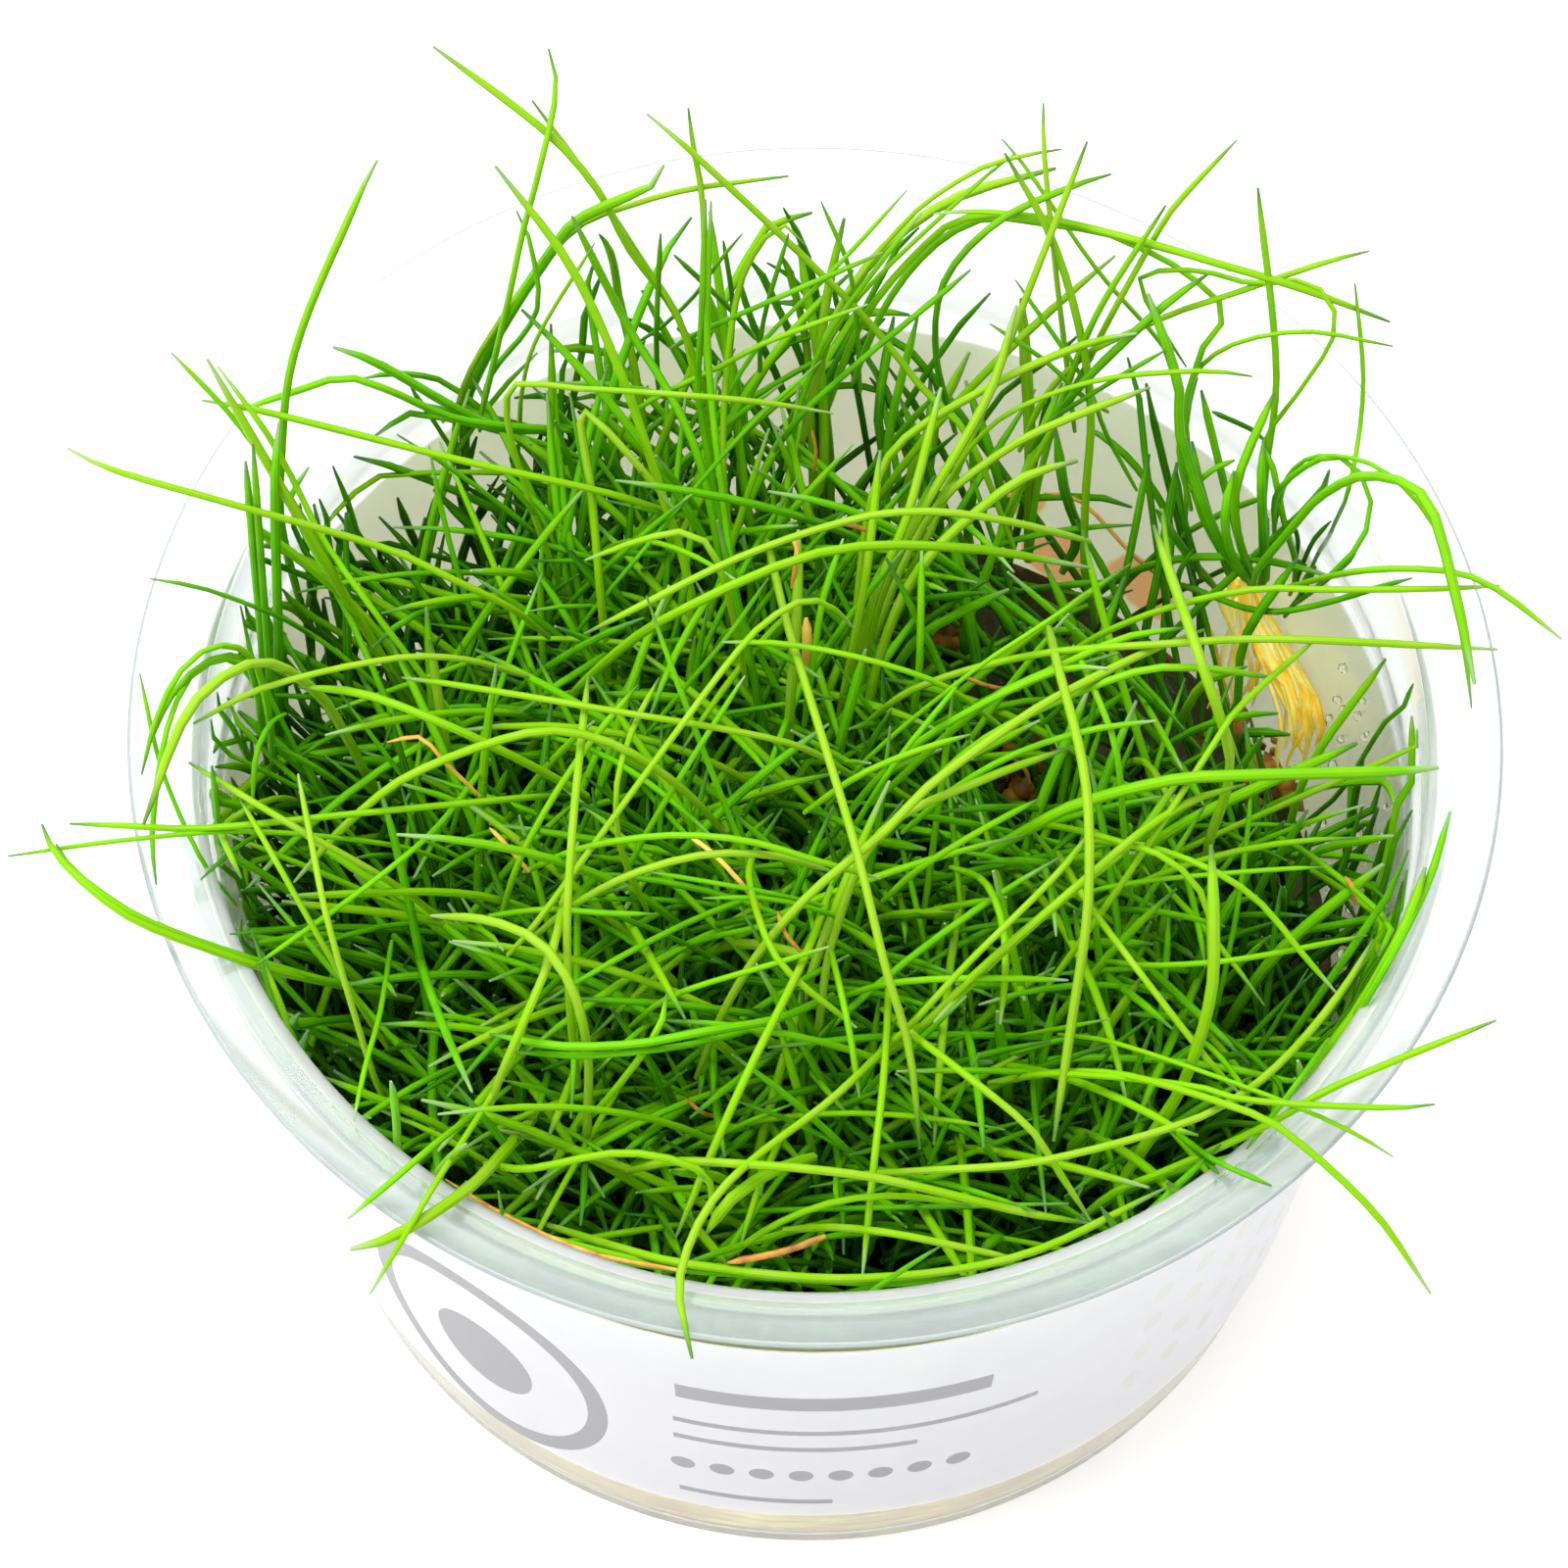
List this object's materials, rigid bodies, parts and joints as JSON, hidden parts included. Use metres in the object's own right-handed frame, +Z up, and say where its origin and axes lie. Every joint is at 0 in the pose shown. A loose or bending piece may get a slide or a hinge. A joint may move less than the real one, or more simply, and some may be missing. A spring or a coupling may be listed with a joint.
{
  "type": "dwarf hairgrass in a clear cup",
  "caption": "Fine-bladed dwarf hairgrass plantlets on growing gel in a clear round cup with a wide flared flange and a pale wrap-around label.",
  "frame": {"origin": "centre of the cup's flat base, on the surface that it stands on", "axes": "+Z up out of the cup's mouth, -Y towards the side that the picture looks from, +X to its right"},
  "size_m": [0.112, 0.1015, 0.0846],
  "materials": {
    "clear_plastic": "clear, smooth, slightly milky at the rim",
    "printed_film": "satin white film with plain pale print",
    "gel": "wet, cloudy, brownish",
    "root": "thin yellow threads",
    "leaf": "fresh green, satin, finely striped along its length"
  },
  "bodies": {
    "root": {"cup": "clear_plastic", "label": "printed_film", "growing_gel": "gel", "root_bundle": "root", "tuft_01": "leaf", "tuft_02": "leaf", "tuft_03": "leaf", "tuft_04": "leaf", "tuft_05": "leaf", "tuft_06": "leaf", "tuft_07": "leaf", "tuft_08": "leaf", "tuft_09": "leaf", "tuft_10": "leaf", "tuft_11": "leaf", "tuft_12": "leaf", "tuft_13": "leaf", "tuft_14": "leaf", "tuft_15": "leaf", "tuft_16": "leaf", "tuft_17": "leaf", "tuft_18": "leaf", "tuft_19": "leaf", "wall_tuft": "leaf"}
  },
  "joints": []
}
